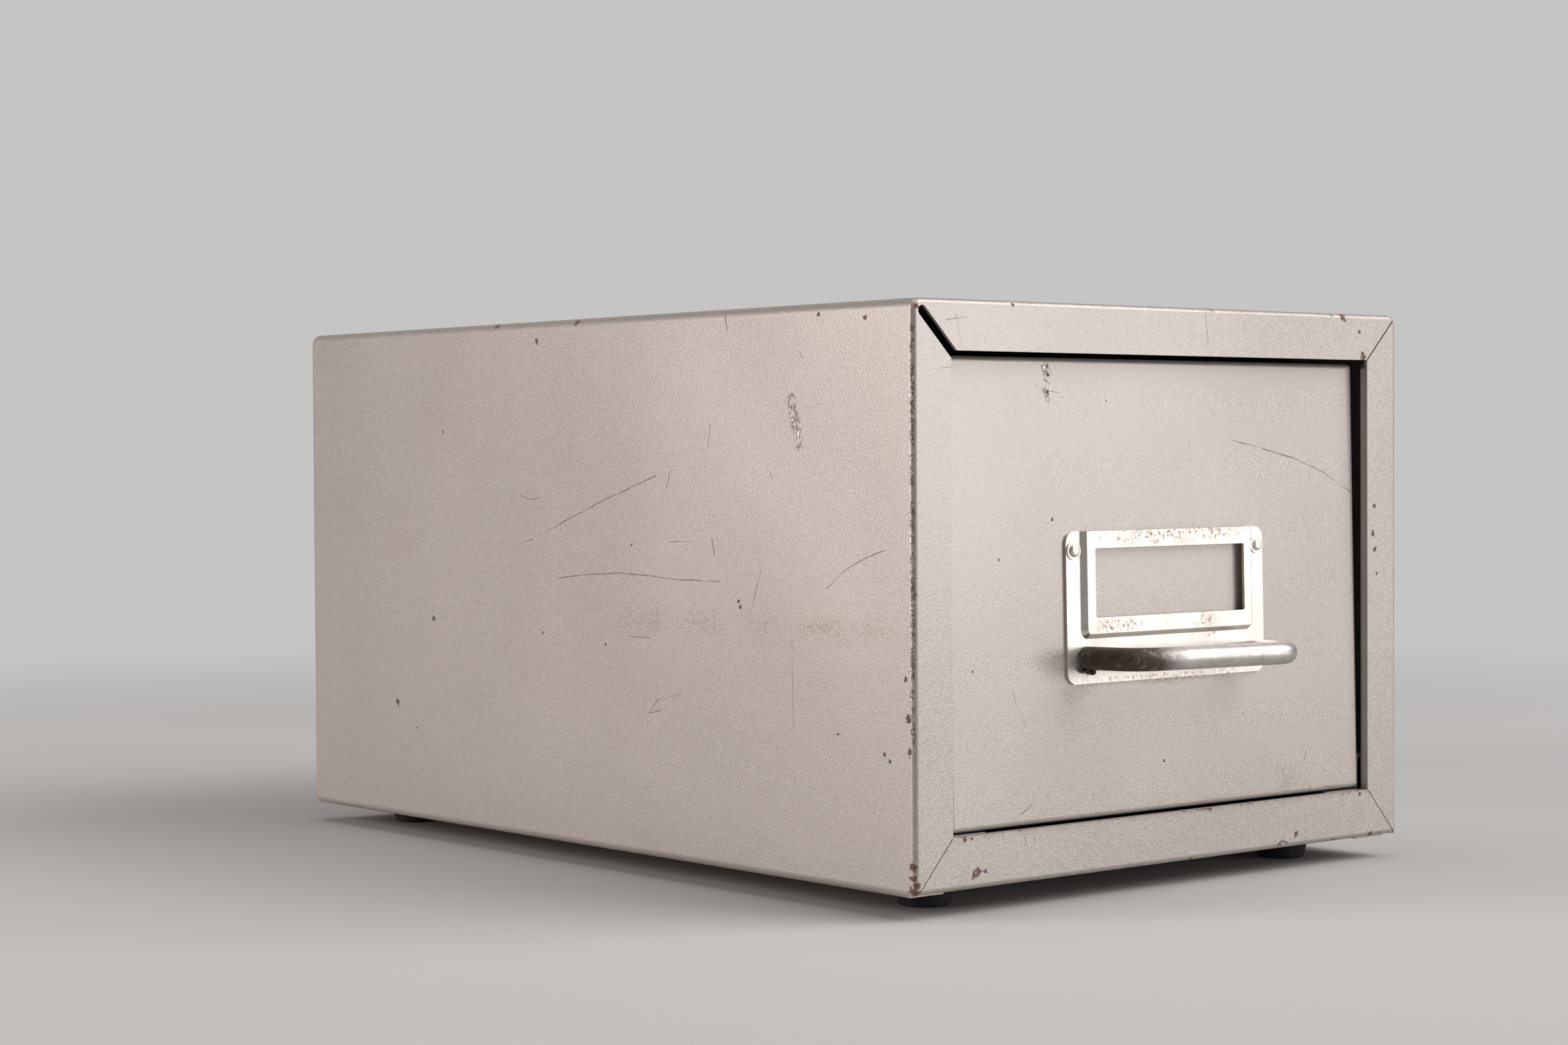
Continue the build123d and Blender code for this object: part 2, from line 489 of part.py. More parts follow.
def lever_spring():
    """Torsion spring round the pin, with one leg on the shoe and one up behind the lever."""
    x0 = -EAR_X + SLIDE_GAP + 0.2 + LEVER_W + 0.6
    coil_path = Helix(SPRING_PITCH, SPRING_PITCH * SPRING_TURNS, SPRING_R)
    start = Plane(coil_path @ 0, z_dir=coil_path % 0)
    coil = sweep(start * Circle(SPRING_WIRE / 2), path=coil_path)
    first, last = coil_path @ 0, coil_path @ 1
    leg_down = Pos(first.X, first.Y - 2.4, first.Z) * Rot(X=90) * Cylinder(SPRING_WIRE / 2, 4.8)
    leg_up = Pos(last.X, last.Y + 5.0, last.Z) * Rot(X=90) * Cylinder(SPRING_WIRE / 2, 10.0)
    spring = coil + leg_down + leg_up
    return Pos(x0, PIN_Y, PIN_Z) * Rot(Y=90) * spring


# ---------------------------------------------------------------- write every piece
save("case_wrapper", case_wrapper())
save("case_bottom", case_bottom())
save("case_back", case_back())
save("left_runner", runner())
save("right_runner", mirror(runner(), about=Plane.YZ))
save("drawer_stop", drawer_stop())
for side_name, side in (("left", -1), ("right", 1)):
    save(f"back_bumper_{side_name}", back_bumper(side))
for foot_name, foot_x, foot_y in foot_places():
    save(f"foot_{foot_name}", foot(foot_x, foot_y))
for node, make in (("foot_screws", foot_screw), ("foot_washers", foot_washer), ("foot_nuts", foot_nut)):
    save(node, Compound([make(x, y) for _, x, y in foot_places()]))

save("drawer_tray", drawer_tray())
save("drawer_back", drawer_back())
save("drawer_front", drawer_front())
save("drawer_front_liner", drawer_front_liner())
save("label_holder", label_holder())
save("plate_rivets", Compound([plate_rivet(x) for x in PLATE_RIVETS_X]))
save("pull_handle", pull_handle())
save("handle_washers", Compound([handle_washer(side) for side in (-1, 1)]))
save("follower_rail", follower_rail())
save("rail_rivets", Compound([rail_rivet(y) for y in RAIL_RIVETS_Y]))

save("follower_plate", follower_plate())
save("follower_shoe", follower_shoe())
save("follower_rivets", Compound([follower_rivet(x) for x in FOLLOWER_RIVETS_X]))
save("lever_pin", lever_pin())
save("lever_spring", lever_spring())
save("lock_lever", lock_lever())
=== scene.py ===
import bpy
import math
import numpy as np
from mathutils import Matrix, Vector


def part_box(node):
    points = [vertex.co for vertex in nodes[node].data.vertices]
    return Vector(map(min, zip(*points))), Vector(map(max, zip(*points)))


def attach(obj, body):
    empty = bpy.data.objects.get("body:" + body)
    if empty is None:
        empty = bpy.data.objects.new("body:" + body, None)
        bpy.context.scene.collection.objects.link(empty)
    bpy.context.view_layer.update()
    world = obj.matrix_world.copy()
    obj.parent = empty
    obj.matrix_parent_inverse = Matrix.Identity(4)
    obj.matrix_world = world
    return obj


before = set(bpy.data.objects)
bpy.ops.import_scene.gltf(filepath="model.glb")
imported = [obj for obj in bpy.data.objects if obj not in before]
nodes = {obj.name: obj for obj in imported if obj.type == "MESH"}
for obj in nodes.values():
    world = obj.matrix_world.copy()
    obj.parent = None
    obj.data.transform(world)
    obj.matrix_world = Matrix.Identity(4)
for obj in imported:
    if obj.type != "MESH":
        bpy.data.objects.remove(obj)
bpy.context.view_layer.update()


# ---------------------------------------------------------------- camera
# The viewpoint of the photograph: low, to the left of the front, about three quarters of a metre away.
# It is given from the case's front lower left corner.
case_low, case_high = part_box("case_wrapper")
CAMERA_FROM_CORNER = Vector((-0.4907, -0.5401, 0.1094))
VIEW_AZIMUTH, VIEW_ELEVATION, VIEW_ROLL = math.radians(-39.78), math.radians(1.33), math.radians(-0.32)
LENS_MM, SENSOR_MM = 68.85, 36.0
CLIP_NEAR, CLIP_FAR = 0.01, 50.0

camera = bpy.data.objects.new("camera", bpy.data.cameras.new("camera"))
bpy.context.scene.collection.objects.link(camera)
bpy.context.scene.camera = camera
camera.data.lens, camera.data.sensor_width = LENS_MM, SENSOR_MM
camera.data.clip_start, camera.data.clip_end = CLIP_NEAR, CLIP_FAR
back = Vector((math.sin(VIEW_AZIMUTH) * math.cos(VIEW_ELEVATION),
               -math.cos(VIEW_AZIMUTH) * math.cos(VIEW_ELEVATION), math.sin(VIEW_ELEVATION)))
right = (-back).cross(Vector((0, 0, 1))).normalized()
up = back.cross(right)
turned_right = right * math.cos(VIEW_ROLL) + up * math.sin(VIEW_ROLL)
turned_up = up * math.cos(VIEW_ROLL) - right * math.sin(VIEW_ROLL)
camera.matrix_world = Matrix.Translation(case_low + CAMERA_FROM_CORNER) @ Matrix(
    (turned_right, turned_up, back)).transposed().to_4x4()

bpy.context.scene.view_settings.view_transform = "Standard"


# ---------------------------------------------------------------- floor, backdrop and lamps
# A plain pale floor fades into a pale backdrop that only the camera sees. Two soft lamps on the right
# light the front and the top, a tall one behind on the left lights that side, and a weak one overhead.
class Value:
    """A socket in a material. Arithmetic on it adds Math nodes, and node() adds any other node."""

    def __init__(self, tree, socket):
        self.tree, self.socket = tree, socket

    def node(self, kind, settings, inputs, output=0):
        """Add a node of a type, its settings first and then the values or links of its sockets."""
        made = self.tree.nodes.new(kind)
        for setting, value in settings.items():
            setattr(made, setting, value)
        for socket, value in inputs.items():
            if isinstance(value, Value):
                self.tree.links.new(value.socket, made.inputs[socket])
            else:
                made.inputs[socket].default_value = value
        return Value(self.tree, made.outputs[output])

    def maths(self, operation, *others, clamp=False):
        return self.node("ShaderNodeMath", {"operation": operation, "use_clamp": clamp},
                         dict(enumerate((self,) + others)))

    def __add__(self, other):
        return self.maths("ADD", other)

    def __sub__(self, other):
        return self.maths("SUBTRACT", other)

    def __rsub__(self, other):
        return self.maths("MULTIPLY_ADD", -1.0, other)

    def __mul__(self, other):
        return self.maths("MULTIPLY", other)

    __radd__, __rmul__ = __add__, __mul__

    def least(self, other):
        return self.maths("MINIMUM", other)

    def most(self, other):
        return self.maths("MAXIMUM", other)

    def kept(self):
        """Held between 0 and 1."""
        return self.maths("ADD", 0.0, clamp=True)

    def above(self, level, contrast):
        """0 up to a level, then rising to 1, the faster the higher the contrast."""
        return ((self - level) * contrast).kept()

    def vector(self, operation, *others, output=0):
        return self.node("ShaderNodeVectorMath", {"operation": operation},
                         dict(enumerate((self,) + others)), output)

    def noise(self, scale, detail=2.0, rough=0.5, output=0):
        return self.node("ShaderNodeTexNoise", {}, {"Vector": self, "Scale": scale, "Detail": detail,
                                                    "Roughness": rough}, output)

    def blend(self, low, high):
        """A colour that goes from low to high as this value goes from 0 to 1."""
        return self.node("ShaderNodeMix", {"data_type": "RGBA"}, {0: self, 6: low, 7: high}, 2)

    def bump(self, depth, normal=None):
        """A Normal for a surface raised by this value times a depth in metres."""
        inputs = {"Height": self, "Distance": depth}
        if normal:
            inputs["Normal"] = normal
        return self.node("ShaderNodeBump", {}, inputs)


def new_finish(name, **constants):
    """A material, its object coordinates and its shader, with the constant sockets set."""
    material = bpy.data.materials.new(name)
    material.use_nodes = True
    tree = material.node_tree
    shader = tree.nodes["Principled BSDF"]
    for socket, value in constants.items():
        shader.inputs[socket.replace("_", " ")].default_value = value
    place = Value(tree, tree.nodes.new("ShaderNodeTexCoord").outputs["Object"])
    return material, place, shader


FLOOR_HALF, FLOOR_PAINT = 6.0, (0.50, 0.49, 0.475, 1)
BACKDROP, ROOM = (0.56, 0.555, 0.545, 1), (0.125, 0.128, 0.134, 1)
FADE_START, FADE_END = 0.30, 1.0         # metres from the middle of the floor

corners = FLOOR_HALF * np.array([(-1, -1, 0), (1, -1, 0), (1, 1, 0), (-1, 1, 0)])
floor_mesh = bpy.data.meshes.new("floor")
floor_mesh.from_pydata(corners.tolist(), [], [(0, 1, 2, 3)])
floor = bpy.data.objects.new("floor", floor_mesh)
bpy.context.scene.collection.objects.link(floor)

floor_paint, place, matt = new_finish("floor_paint", Base_Color=FLOOR_PAINT, Roughness=0.9,
                                      Specular_IOR_Level=0.2)
fade = place.node("ShaderNodeMapRange", {"interpolation_type": "SMOOTHSTEP"}, {
    "Value": place.vector("LENGTH", output=1), "From Min": FADE_START, "From Max": FADE_END})
seen = place.node("ShaderNodeLightPath", {}, {}, "Is Camera Ray")
glow = place.node("ShaderNodeEmission", {}, {"Color": BACKDROP})
joined = place.node("ShaderNodeMixShader", {}, {
    0: fade * seen, 1: Value(place.tree, matt.outputs[0]), 2: glow})
place.tree.links.new(joined.socket, place.tree.nodes["Material Output"].inputs["Surface"])
floor_mesh.materials.append(floor_paint)

world = bpy.data.worlds.new("studio")
bpy.context.scene.world = world
world.use_nodes = True
sky = world.node_tree
seen = Value(sky, sky.nodes.new("ShaderNodeLightPath").outputs["Is Camera Ray"])
sky.links.new(seen.blend(ROOM, BACKDROP).socket, sky.nodes["Background"].inputs["Color"])


def softbox(name, place, aim, size, watts, colour):
    """A rectangular studio lamp at a place, turned to face a point."""
    lamp = bpy.data.lights.new(name, "AREA")
    lamp.shape, lamp.size, lamp.size_y = "RECTANGLE", size[0], size[1]
    lamp.energy, lamp.color = watts, colour
    body = bpy.data.objects.new(name, lamp)
    body.location = place
    body.rotation_euler = (Vector(place) - Vector(aim)).to_track_quat("Z", "Y").to_euler()
    bpy.context.scene.collection.objects.link(body)


WHITE, SOFT_WHITE, WARM_WHITE = (1.0, 0.985, 0.985), (1.0, 0.99, 0.97), (1.0, 0.935, 0.90)
softbox("low_light", (1.29, -1.91, 0.24), aim=(0, -0.13, 0.07), size=(0.9, 0.42), watts=8.2, colour=WHITE)
softbox("high_light", (1.14, -1.40, 1.62), aim=(0, -0.13, 0.08), size=(1.9, 1.9), watts=56, colour=WHITE)
softbox("left_light", (-1.25, 0.62, 0.42), aim=(-0.09, 0, 0.08), size=(0.5, 0.9), watts=12.4,
        colour=WARM_WHITE)
softbox("top_light", (-0.1, 0.1, 1.6), aim=(0, 0, 0.1), size=(1.0, 1.0), watts=7, colour=SOFT_WHITE)


# ---------------------------------------------------------------- sheet-steel case
# Top, sides, front frame and back of folded sheet, sprayed in a warm silver-grey stoving paint with
# a fine metallic grain over brown primer. The paint is chipped and scratched, most along the edges.
MM_IN_METRE = 1000.0


def connect(shader, **links):
    """Link worked-out values to the shader's sockets."""
    for socket, value in links.items():
        value.tree.links.new(value.socket, shader.inputs[socket.replace("_", " ")])


def metres(point_mm):
    return tuple(0.001 * c for c in point_mm)


def nearest(distances):
    """The least of some distances, or None if there are none. Each is worked out in its turn."""
    reach = None
    for distance in distances:
        reach = reach.least(distance) if reach else distance
    return reach


class Walk:
    """The way from a point to the place being coloured. The point steps from mark to mark, because
    the renderer works out side by side all that doesn't wait for something, and has room for little."""

    def __init__(self, place):
        self.way, self.here = place, Vector((0, 0, 0))

    def step(self, point_mm):
        point = Vector(metres(point_mm))
        self.way = self.way.vector("SUBTRACT", tuple(point - self.here))
        self.here = point
        return self.way

    def to_point(self, point_mm):
        """Distance to a point."""
        return self.step(point_mm).vector("LENGTH", output=1)

    def to_run(self, start_mm, end_mm):
        """Distance to a straight run: the length of what is left of the way from its start once the
        part along the run, held between its ends, is taken off."""
        run = Vector(metres(end_mm)) - Vector(metres(start_mm))
        way = self.step(start_mm)
        along = (way.vector("DOT_PRODUCT", tuple(run), output=1) * (1 / run.length_squared)).kept()
        reach = along.node("ShaderNodeVectorMath", {"operation": "SCALE"}, {0: tuple(run), "Scale": along})
        return way.vector("SUBTRACT", reach).vector("LENGTH", output=1)

    def to_line(self, points_mm):
        """Distance to a line through points, which is the least of those to its straight runs."""
        return nearest(self.to_run(start, end) for start, end in zip(points_mm[:-1], points_mm[1:]))

    def to_marks(self, marks):
        """Distance to the nearest of some (half width, points) lines, counted in its half widths."""
        return nearest(self.to_line(points) * (MM_IN_METRE / half_width) for half_width, points in marks)


def edge_distance(place, low, high):
    """Distance to the nearest edge of a box: the middle one of the distances to its three faces."""
    middle, half = (low + high) / 2, (high - low) / 2
    inward = place.vector("SUBTRACT", tuple(middle)).vector("ABSOLUTE")
    inward = inward.node("ShaderNodeVectorMath", {"operation": "SUBTRACT"}, {0: tuple(half), 1: inward})
    parts = inward.node("ShaderNodeSeparateXYZ", {}, {0: inward})
    x, y, z = (Value(place.tree, socket) for socket in parts.socket.node.outputs)
    return x.least(y).most(x.most(y).least(z))


PAINT, PAINT_SHADE = (0.60, 0.548, 0.515, 1), (0.36, 0.318, 0.294, 1)
# Dark brown for both the real stain threads and the painted shade in the bends.
PAINT_GRIME_AND_SHADE = (0.25, 0.195, 0.15, 1)
PRIMER, RUST = (0.225, 0.115, 0.075, 1), (0.085, 0.045, 0.030, 1)
BARE, BRIGHT = (0.34, 0.295, 0.25, 1), (0.78, 0.75, 0.72, 1)
PAINT_ROUGHNESS, PAINT_METALLIC = 0.40, 0.42
GRAIN_SCALE, PEEL_SCALE, DENT_SCALE = 3100, 2400, 11             # noise cells in a metre
CLOUD_SCALE, RAGGED_SCALE, WOBBLE_SCALE, FLAKE_SCALE = 22, 700, 110, 520
PEEL_DEPTH, DENT_DEPTH, CHIP_DEPTH, WOBBLE = 0.00004, 0.0016, 0.00006, 0.0007    # metres
CHIP_FADE, RUB_FADE, BEND_SHADE_FADE = 1700.0, 700.0, 500.0           # how wear and the painted shade in the bends fade, per metre from an edge
CHIP_SPREAD, FLAKE_LEVEL, RIM_LEVEL = 1.6, 0.60, 0.54


def grey_paint(name, low, high, strokes=(), chips=(), stains=(), scuffs=(), wear=1.0):
    """The grey paint of one piece. Chips are (radius, point), and strokes, stains and scuffs are (half
    width, points), all in mm. Wear says how much paint has gone along the edges. Stains show as
    threads, where a noise passes its middle value, and scuffs as pale flakes with dark rims."""
    material, place, shader = new_finish(name, Coat_Weight=0.10, Coat_Roughness=0.25)
    grain, peel = place.noise(GRAIN_SCALE, 1.0), place.noise(PEEL_SCALE, 1.0)
    cloud, ragged = place.noise(CLOUD_SCALE, 3.0), place.noise(RAGGED_SCALE, 3.0, 0.65)
    wobble = place.noise(WOBBLE_SCALE, 3.0, 0.35, output=1).vector("SUBTRACT", (0.5, 0.5, 0.5))
    wobble = wobble.node("ShaderNodeVectorMath", {"operation": "SCALE"}, {0: wobble, "Scale": WOBBLE})
    bent = place.vector("ADD", wobble)

    edge = edge_distance(place, low, high)
    edge_chips = ((place.noise(230, 4.0, 0.72) - 0.61) * 12.0 * wear - edge * CHIP_FADE + 0.8).kept()
    rubbed = (1.0 - edge * RUB_FADE).kept() * (place.noise(260, 3.0, 0.7) * 3.2 - 1.15).kept() * wear
    walk, uneven = Walk(place), (ragged - 0.5) * 5.2 + 1.6
    chipped = nearest(walk.to_point(point) * (MM_IN_METRE * CHIP_SPREAD / radius) for radius, point in chips)
    gone = edge_chips.most(uneven.above(chipped, 2.2)) if chipped else edge_chips
    thread = (1.0 - (ragged - 0.5).maths("ABSOLUTE") * 26.0).kept()
    # Painted shade: the paint is darkened, in clouds, within 2 mm of every edge of the box, where the bends
    # turn away from the lamps. Real stain threads are added to the same mask below.
    stains_and_bend_shade = (1.0 - edge * BEND_SHADE_FADE).kept() * (cloud * 1.4 - 0.4).kept() * 0.3
    stained = walk.to_marks(stains)
    if stained:
        stains_and_bend_shade = stains_and_bend_shade.most((1.0 - stained).kept() * (place.noise(60, 2.0) * 3.6 - 1.2).kept() * thread)

    colour = (grain * 2.0 - 0.5).kept().blend(PAINT_SHADE, PAINT)
    # Painted shade in the bends, together with the real stains, darkens the paint here.
    colour = (stains_and_bend_shade + (cloud - 0.5) * 0.25).kept().blend(colour, PAINT_GRIME_AND_SHADE)
    colour = rubbed.blend(colour, BARE)
    walk = Walk(bent)
    scratched = walk.to_marks(strokes)
    if scratched:
        scratched = (1.4 - scratched).kept()
        fading = (place.noise(150, 2.0) * 2.0 - 0.2).kept()
        colour = (scratched * fading * 0.85).blend(colour, RUST)
    scuffed = walk.to_marks(scuffs)
    if scuffed:
        flake, scuffed = place.noise(FLAKE_SCALE, 3.0, 0.75), ((1.4 - scuffed) * 2.0).kept()
        colour = (scuffed * flake.above(FLAKE_LEVEL, 16.0)).blend(colour, BRIGHT)
        rim = (1.0 - (flake - RIM_LEVEL).maths("ABSOLUTE") * 15.0).kept()
        colour = (scuffed * rim).blend(colour, RUST)
    colour = gone.blend(colour, place.noise(1600, 3.0, 0.7).blend(PRIMER, RUST))

    skin = peel.bump(PEEL_DEPTH, place.noise(DENT_SCALE, 1.0).bump(DENT_DEPTH))
    connect(shader, Base_Color=colour, Metallic=(PAINT_METALLIC - gone * PAINT_METALLIC).kept(),
            Roughness=PAINT_ROUGHNESS + (grain - 0.5) * 0.25 + gone * 0.35 + stains_and_bend_shade * 0.2,
            Normal=(1.0 - edge_chips).bump(CHIP_DEPTH, skin))
    return material


def coat(material, *names):
    """Put a material on CAD pieces."""
    for name in names:
        nodes[name].data.materials.clear()
        nodes[name].data.materials.append(material)


SIDE_X, FRONT_Y, TOP_Z = MM_IN_METRE * case_low.x, MM_IN_METRE * case_low.y, MM_IN_METRE * case_high.z


def on_side(*points):
    return [(SIDE_X, y, z) for y, z in points]


def on_frame(*points):
    return [(x, FRONT_Y, z) for x, z in points]


def on_top(*points):
    return [(x, y, TOP_Z) for x, y in points]


def on_right(*points):
    return [(-SIDE_X, y, z) for y, z in points]


def chips_on(surface, *chips):
    """Chips of (radius, two coordinates) on one of the surfaces above."""
    return [(radius, surface((first, second))[0]) for radius, first, second in chips]


case_strokes = [
    (0.16, on_side((22.9, 93.2), (11.6, 97.1), (-1.7, 101.5), (-14.9, 105.3), (-28.2, 109.1))),
    (0.13, on_side((33.8, 90.1), (29.5, 91.2))),
    (0.16, on_side((-34.9, 110.6), (-32.8, 105.7))),
    (0.14, on_side((-52.0, 122.7), (-51.1, 116.7))),
    (0.15, on_side((17.9, 80.3), (3.9, 81.5), (-11.6, 82.4), (-26.7, 82.1), (-38.4, 81.4), (-55.5, 81.4))),
    (0.13, on_side((-73.0, 85.0), (-68.5, 74.3))),
    (0.15, on_side((-120.8, 91.0), (-113.4, 88.8), (-105.0, 85.3), (-98.9, 80.8))),
    (0.10, on_side((-84.9, 74.2), (-85.5, 44.4))),
    (0.14, on_side((-38.1, 50.7), (-28.7, 48.7), (-24.5, 44.8), (-30.4, 45.9))),
    (0.10, on_side((-33.0, 91.4), (-43.4, 91.6))),
    (0.12, on_side((35.6, 103.5), (31.0, 102.2), (25.7, 102.8))),
    (0.13, on_side((-15.7, 65.4), (-25.3, 65.3))),
    (0.20, on_side((-52.3, 92.7), (-53.4, 88.5))),
    (0.20, on_side((-76.7, 110.3), (-77.5, 108.4))),
    (0.30, on_side((-58.5, 151.3), (-59.5, 147.1))),
    (0.20, on_side((-88.7, 140.9), (-89.7, 139.3))),
    (0.10, on_frame((-77.6, 148.9), (-77.2, 146.6), (-75.8, 141.7))),
    (0.12, on_frame((12.7, 151.9), (13.7, 143.1))),
    (0.08, on_frame((-88.8, 135.1), (-79.2, 135.9))),
    (0.12, on_frame((-80.9, 147.5), (-73.8, 148.3))),
    (0.14, on_top((-44.0, -66.0), (-12.0, -50.0), (22.0, -45.0))),
    (0.12, on_top((28.0, 18.0), (52.0, 43.0))),
    (0.16, on_top((-60.0, 70.0), (-53.0, 95.0), (-51.0, 112.0))),
    (0.12, on_right((-94.0, 60.0), (-62.0, 66.0), (-36.0, 63.5))),
    (0.15, on_right((18.0, 112.0), (44.0, 96.0))),
    (0.12, on_right((58.0, 40.0), (92.0, 51.0)))]
case_chips = chips_on(
    on_side,
    (0.9, 81.2, 66.2), (1.0, 101.4, 40.3), (0.5, 24.9, 64.6), (0.4, -4.9, 62.6), (0.9, 27.1, 147.3),
    (0.4, 75.3, 121.9), (0.5, -17.2, 90.2), (0.6, -63.3, 76.4), (0.6, -64.1, 75.2), (0.8, -96.1, 149.9),
    (0.7, -113.8, 148.5), (0.4, 90.8, 33.1), (0.6, -102.9, 44.4), (0.7, -120.5, 40.7), (0.6, -122.2, 39.2),
    (1.0, -129.1, 49.8), (0.8, -128.4, 59.6), (1.0, -129.8, 41.7), (1.5, -130.6, 8.0), (1.3, -130.5, 10.8),
    (1.2, -130.6, 13.6), (1.5, 48.0, 152.3), (1.6, 8.0, 152.3))
case_chips += chips_on(
    on_frame,
    (1.5, 68.8, 152.2), (1.3, 77.4, 141.0), (0.7, 64.5, 152.6), (0.6, -58.2, 151.8), (0.6, 27.5, 152.4),
    (0.7, -90.6, 150.5), (0.6, 75.9, 147.9), (0.9, 81.6, 91.7), (0.8, 82.5, 87.0), (0.7, 82.2, 99.2),
    (0.5, 83.3, 80.4), (1.3, -91.4, 9.0), (1.0, -90.6, 7.4))
case_chips += chips_on(on_top, (0.8, -30.0, 92.0), (0.9, 46.0, -84.0), (0.6, 70.0, 30.0))
case_chips += chips_on(on_right, (0.7, -42.0, 88.0), (0.9, 71.0, 121.0), (1.1, -127.0, 31.0))
case_stains = [(12, on_side((97.0, 88.0), (101.5, 89.5))),
               (5.5, on_side((-129.0, 69.6), (-74.0, 70.4), (-14.0, 69.6)))]
case_scuffs = [(1.5, on_side((-85.4, 128.6), (-86.6, 123.5), (-88.3, 117.4))),
               (0.6, on_side((-130.6, 44.0), (-130.8, 146.0)))]
coat(grey_paint("case_paint", case_low, case_high, case_strokes, case_chips, case_stains, case_scuffs),
     "case_wrapper")

bottom_strokes = [(0.12, on_frame((-55.0, 18.5), (-54.3, 16.7), (-54.8, 15.8))),
                  (0.10, on_frame((-51.4, 17.8), (-51.0, 16.6))),
                  (0.22, on_frame((-72.1, 11.2), (-67.7, 10.6))),
                  (0.30, on_frame((41.1, 7.4), (42.8, 8.6), (45.2, 7.8)))]
bottom_chips = chips_on(
    on_frame,
    (1.1, -72.1, 10.2), (1.0, -70.9, 10.9), (0.6, -68.6, 10.8), (1.0, 48.8, 9.7), (0.6, 42.4, 7.7),
    (0.9, -75.4, 19.3), (0.5, -73.0, 19.3), (0.7, 75.7, 18.9), (1.1, 80.5, 7.3), (0.7, 84.5, 6.9))
coat(grey_paint("bottom_paint", *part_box("case_bottom"), bottom_strokes, bottom_chips), "case_bottom")

BACK_Y = MM_IN_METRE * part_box("case_back")[1].y


def on_back(*points):
    return [(x, BACK_Y, z) for x, z in points]


back_strokes = [(0.15, on_back((-52.0, 96.0), (-30.0, 104.0), (-4.0, 107.0))),
                (0.15, on_back((20.0, 48.0), (46.0, 39.0))),
                (0.15, on_back((-66.0, 30.0), (-58.0, 44.0)))]
back_chips = chips_on(on_back, (1.0, -18.0, 124.0), (0.8, 57.0, 92.0), (0.7, 8.0, 24.0), (1.2, -71.0, 18.0))
coat(grey_paint("hidden_paint", case_low, case_high, back_strokes, back_chips, wear=0.6),
     "case_back", "left_runner", "right_runner", "drawer_stop")


# ---------------------------------------------------------------- drawer
# A pan for a front, with a second pan let into it, on a folded tray with hemmed sides, all in the
# same paint. The face leans back a little, so its marks are placed along that lean.
FACE_SETBACK, FACE_LOW_Z, FACE_LEAN = 2.1, 20.5, math.tan(math.radians(1.1))
FACE_Y = FRONT_Y + FACE_SETBACK


def on_face(*points):
    return [(x, FACE_Y + (z - FACE_LOW_Z) * FACE_LEAN, z) for x, z in points]


face_strokes = [
    (0.12, on_face((-46.5, 131.9), (-43.4, 130.6), (-38.2, 130.1))),
    (0.10, on_face((-41.6, 137.4), (-40.2, 134.6))),
    (0.17, on_face((27.8, 117.8), (38.6, 115.9), (52.2, 113.0), (64.7, 109.0), (77.4, 102.8))),
    (0.12, on_face((10.4, 117.1), (10.9, 115.1))),
    (0.15, on_face((-56.1, 55.0), (-54.7, 50.9), (-51.8, 45.6))),
    (0.14, on_face((-54.2, 23.4), (-50.9, 25.3), (-47.8, 27.6))),
    (0.16, on_face((55.8, 32.1), (55.2, 29.8))),
    (0.14, on_face((63.4, 21.6), (69.1, 21.7)))]
face_chips = chips_on(
    on_face,
    (0.7, -42.1, 136.6), (0.6, -41.6, 134.5), (0.7, -42.0, 130.4), (0.5, -69.8, 60.4), (0.5, -41.1, 97.7),
    (0.5, -0.9, 33.3), (0.3, 56.9, 22.3), (0.35, -60.2, 88.0), (0.3, 30.2, 44.0), (0.3, -20.5, 128.0))
face_stains = [(7.0, on_face((42.0, 24.0), (47.0, 24.5))),
               (3.6, on_face((-36.0, 53.0), (-24.0, 54.4), (-12.0, 54.8))),
               (2.2, on_face((-12.0, 54.8), (32.0, 55.2))),
               (3.0, on_face((-62.0, 20.2), (70.0, 20.8)))]
face_scuffs = [(0.7, on_face((-43.4, 136.9), (-43.0, 136.4))),
               (0.9, on_face((-42.7, 135.2), (-41.9, 133.0))),
               (0.9, on_face((-42.9, 130.4), (-42.3, 128.6)))]
coat(grey_paint("drawer_face_paint", *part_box("drawer_front"), face_strokes, face_chips, face_stains,
                face_scuffs, wear=0.8), "drawer_front")
coat(grey_paint("drawer_paint", *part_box("drawer_tray"), wear=0.7),
     "drawer_tray", "drawer_back", "drawer_front_liner")


# ---------------------------------------------------------------- pull plate and its rivets
# Stamped steel sheet, nickel plated and worn to a satin, with rust coming through in specks along
# the raised card frame. Two rivets hold its ears, and the handle's shoulders hold the rest.
NICKEL, NICKEL_DULL = (0.80, 0.765, 0.72, 1), (0.66, 0.605, 0.54, 1)
TAN_RUST, DEEP_RUST = (0.52, 0.30, 0.15, 1), (0.28, 0.13, 0.055, 1)
FINE_DEPTH, STREAK_DEPTH, SWELL_DEPTH = 0.000008, 0.000015, 0.00008      # metres


